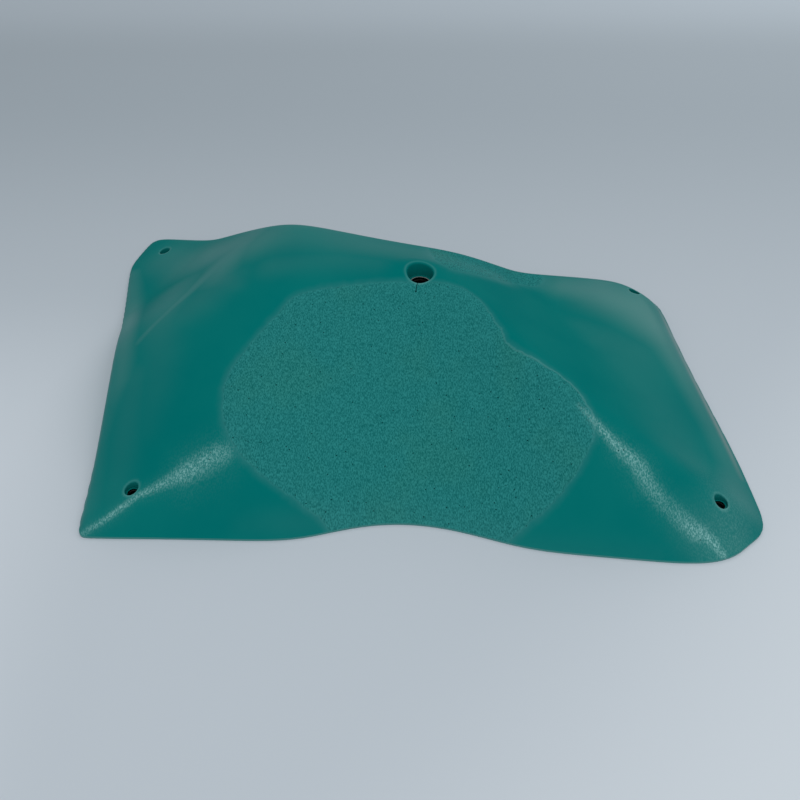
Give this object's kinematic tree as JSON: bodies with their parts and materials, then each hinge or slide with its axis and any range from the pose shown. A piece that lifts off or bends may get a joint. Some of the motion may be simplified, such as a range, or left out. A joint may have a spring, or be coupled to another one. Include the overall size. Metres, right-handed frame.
{
  "type": "climbing hold",
  "caption": "Large sculpted climbing hold with smooth flanks round a textured slope, a counterbored bolt hole, corner set screw holes and a ribbed hollow back.",
  "frame": {"origin": "middle of the flat back, on the plane that meets the wall", "axes": "+X along the length to the right of the picture, +Y from the lower edge to the upper edge, +Z out of the wall"},
  "size_m": [0.4692, 0.3697, 0.0869],
  "materials": {
    "hold_plastic": "cast polyurethane, satin on the flanks and fine grained on the textured slope",
    "washer_steel": "plain steel washer"
  },
  "bodies": {
    "root": {"hold_body": "hold_plastic", "bolt_washer": "washer_steel", "set_screw_washer_front_left": "washer_steel", "set_screw_washer_front_right": "washer_steel", "set_screw_washer_back_left": "washer_steel", "set_screw_washer_back_right": "washer_steel"}
  },
  "joints": []
}
